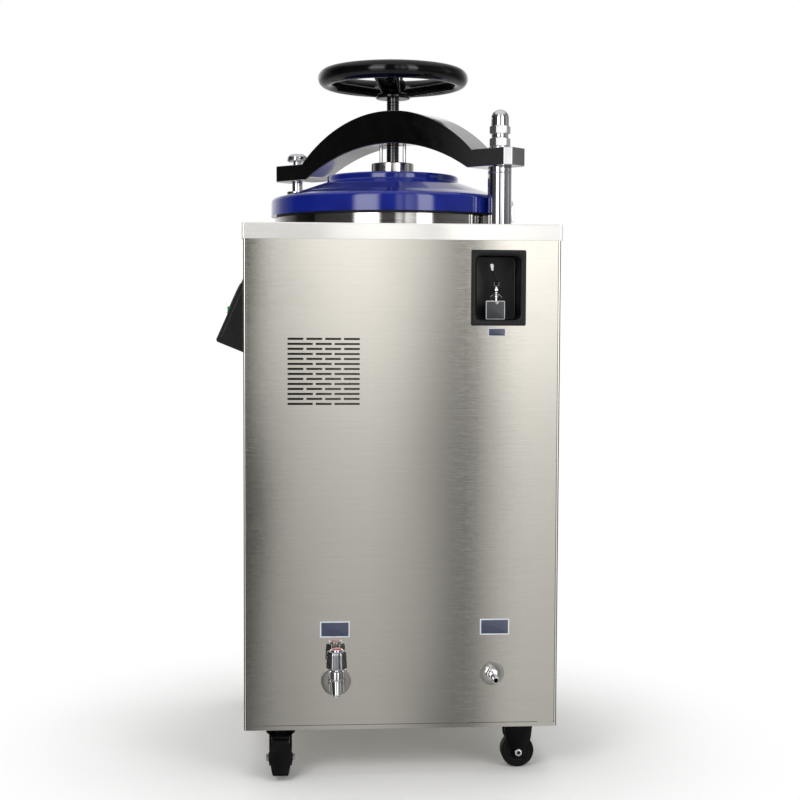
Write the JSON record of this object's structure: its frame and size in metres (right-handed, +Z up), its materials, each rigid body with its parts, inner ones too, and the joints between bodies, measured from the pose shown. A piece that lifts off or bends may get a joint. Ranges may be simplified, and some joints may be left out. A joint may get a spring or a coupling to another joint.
{
  "type": "vertical autoclave",
  "caption": "Top-loading steam steriliser: steel cabinet on casters, blue lid under a swinging beam with a handwheel screw, drain tap, steam nozzle and recessed safety valve.",
  "frame": {"origin": "middle of the object's box seen from above, on the floor under the casters", "axes": "+Z up along the vessel's axis; -Y is the service side with the tap, the nozzle and the valve recess; -X is the operator's side with the control box"},
  "size_m": [0.5628, 0.584, 1.1764],
  "materials": {
    "panel_steel": "horizontally brushed, satin",
    "frame_steel": "satin grey paint",
    "chamber_steel": "fine brushed",
    "flange_steel": "turned and polished",
    "insulation": "glass wool felt",
    "pipe_steel": "drawn",
    "recess_plastic": "fine grained",
    "valve_chrome": "polished",
    "lever_plastic": "moulded",
    "tag_metal": "blank, satin",
    "label_blue": "blank plate with a white border",
    "tap_chrome": "polished",
    "control_paint": "black textured paint",
    "fascia_plastic": "blank film",
    "gauge_black": "black",
    "key_plastic": "moulded",
    "rocker_green": "moulded",
    "gland_plastic": "moulded",
    "column_chrome": "polished",
    "beam_chrome": "polished, with round edges",
    "nut_brass": "turned",
    "lid_blue": "gloss cobalt blue",
    "seal_rubber": "moulded",
    "wheel_black": "gloss black",
    "spindle_steel": "turned, oiled",
    "basket_steel": "polished sheet",
    "caster_steel": "black",
    "tyre_rubber": "satin"
  },
  "bodies": {
    "cabinet": {"base_frame": "frame_steel", "front_panel": "panel_steel", "service_panel": "panel_steel", "back_panel": "panel_steel", "left_panel": "panel_steel", "top_cover": "panel_steel", "vessel_stand": "frame_steel", "chamber": "chamber_steel", "chamber_flange": "flange_steel", "insulation_jacket": "insulation", "heating_element": "pipe_steel", "probes": "pipe_steel", "drain_pipe": "pipe_steel", "exhaust_pipe": "pipe_steel", "recess_box": "recess_plastic", "safety_valve": "valve_chrome", "label_plates": "label_blue", "tap_rose": "tap_chrome", "drain_tap": "tap_chrome", "steam_nozzle": "tap_chrome", "nozzle_seat": "tap_chrome", "control_box": "control_paint", "control_fascia": "fascia_plastic", "gauge_case": "gauge_black", "power_gland": "gland_plastic", "pivot_column": "column_chrome", "latch_post": "column_chrome", "pivot_bushes": "column_chrome", "column_nuts": "column_chrome", "cap_nut": "column_chrome", "support_grid": "basket_steel", "basket": "basket_steel", "caster_mounts": "caster_steel"},
    "valve_pull": {"valve_lever": "lever_plastic"},
    "tag": {"valve_tag": "tag_metal"},
    "tap_knob": {"tap_handle": "tap_chrome"},
    "needle": {"gauge_needle": "gauge_black"},
    "set_key": {"key_set": "key_plastic"},
    "up_key": {"key_up": "key_plastic"},
    "down_key": {"key_down": "key_plastic"},
    "power_rocker": {"rocker_switch": "rocker_green"},
    "swing_beam": {"beam": "beam_chrome", "spindle_nut": "nut_brass"},
    "lid_unit": {"lid": "lid_blue", "lid_liner": "chamber_steel", "lid_seal": "seal_rubber", "thrust_disc": "column_chrome", "guide_rods": "column_chrome"},
    "screw": {"spindle": "spindle_steel", "handwheel": "wheel_black", "wheel_nut": "column_chrome"},
    "bail": {"basket_bail": "basket_steel"},
    "swivel_right": {"swivel_fork_right": "caster_steel"},
    "swivel_left": {"swivel_fork_left": "caster_steel"},
    "front_right_wheel": {"wheel_front_right": "tyre_rubber"},
    "front_left_wheel": {"wheel_front_left": "tyre_rubber"},
    "rear_right_wheel": {"wheel_rear_right": "tyre_rubber"},
    "rear_left_wheel": {"wheel_rear_left": "tyre_rubber"},
    "right_brake": {"brake_pedal_right": "caster_steel"},
    "left_brake": {"brake_pedal_left": "caster_steel"}
  },
  "joints": [
    {"name": "beam_swing", "type": "hinge", "parent": "cabinet", "child": "swing_beam", "pos_m": [0.19052, -0.15152, 1.009], "axis": [0, 0, 1], "range_deg": [0, 120]},
    {"name": "lid_lift", "type": "slide", "parent": "swing_beam", "child": "lid_unit", "axis": [0, 0, 1], "range_m": [0, 0.025]},
    {"name": "wheel_spin", "type": "hinge", "parent": "lid_unit", "child": "screw", "pos_m": [0.02399, 0.015, 1.14], "axis": [0, 0, 1], "range_deg": [0, 1800]},
    {"name": "valve_lever_pull", "type": "hinge", "parent": "cabinet", "child": "valve_pull", "pos_m": [0.17649, -0.221, 0.801], "axis": [1, 0, 0], "range_deg": [0, 25], "stiffness_Nm_per_rad": 0.05},
    {"name": "tag_swing", "type": "hinge", "parent": "cabinet", "child": "tag", "pos_m": [0.17649, -0.2174, 0.78282], "axis": [-1, 0, 0], "range_deg": [0, 30]},
    {"name": "tap_turn", "type": "hinge", "parent": "cabinet", "child": "tap_knob", "pos_m": [-0.08251, -0.27, 0.187], "axis": [0, 0, 1], "range_deg": [0, 90]},
    {"name": "gauge_needle_turn", "type": "hinge", "parent": "cabinet", "child": "needle", "pos_m": [-0.25571, 0.073, 0.77623], "axis": [0.9145, 0, -0.4047], "range_deg": [0, 270], "stiffness_Nm_per_rad": 0.0005},
    {"name": "key_set_press", "type": "slide", "parent": "cabinet", "child": "set_key", "axis": [0.9145, 0, -0.4047], "range_m": [0, 0.0015], "stiffness_N_per_m": 300},
    {"name": "key_up_press", "type": "slide", "parent": "cabinet", "child": "up_key", "axis": [0.9145, 0, -0.4047], "range_m": [0, 0.0015], "stiffness_N_per_m": 300},
    {"name": "key_down_press", "type": "slide", "parent": "cabinet", "child": "down_key", "axis": [0.9145, 0, -0.4047], "range_m": [0, 0.0015], "stiffness_N_per_m": 300},
    {"name": "rocker_tilt", "type": "hinge", "parent": "cabinet", "child": "power_rocker", "pos_m": [-0.25927, -0.059, 0.74718], "axis": [0, 1, 0], "range_deg": [0, 24]},
    {"name": "bail_swing", "type": "hinge", "parent": "cabinet", "child": "bail", "pos_m": [0.02399, 0.015, 0.7188], "axis": [0, -1, 0], "range_deg": [0, 180]},
    {"name": "swivel_right_turn", "type": "hinge", "parent": "cabinet", "child": "swivel_right", "pos_m": [-0.17201, -0.197, 0.065], "axis": [0, 0, 1], "continuous": true},
    {"name": "swivel_left_turn", "type": "hinge", "parent": "cabinet", "child": "swivel_left", "pos_m": [-0.17201, 0.227, 0.065], "axis": [0, 0, 1], "continuous": true},
    {"name": "front_right_roll", "type": "hinge", "parent": "swivel_right", "child": "front_right_wheel", "pos_m": [-0.17201, -0.222, 0.027], "axis": [1, 0, 0], "continuous": true},
    {"name": "front_left_roll", "type": "hinge", "parent": "swivel_left", "child": "front_left_wheel", "pos_m": [-0.19701, 0.227, 0.027], "axis": [0, 1, 0], "continuous": true},
    {"name": "rear_right_roll", "type": "hinge", "parent": "cabinet", "child": "rear_right_wheel", "pos_m": [0.21999, -0.197, 0.027], "axis": [0, 1, 0], "continuous": true},
    {"name": "rear_left_roll", "type": "hinge", "parent": "cabinet", "child": "rear_left_wheel", "pos_m": [0.21999, 0.227, 0.027], "axis": [0, 1, 0], "continuous": true},
    {"name": "right_brake_lift", "type": "hinge", "parent": "swivel_right", "child": "right_brake", "pos_m": [-0.17201, -0.23067, 0.06145], "axis": [-1, 0, 0], "range_deg": [0, 25]},
    {"name": "left_brake_lift", "type": "hinge", "parent": "swivel_left", "child": "left_brake", "pos_m": [-0.20567, 0.227, 0.06145], "axis": [0, 1, 0], "range_deg": [0, 25]}
  ],
  "couplings": [
    {"joint": "lid_lift", "follows": "wheel_spin", "m_per_rad": 0.00079577}
  ]
}
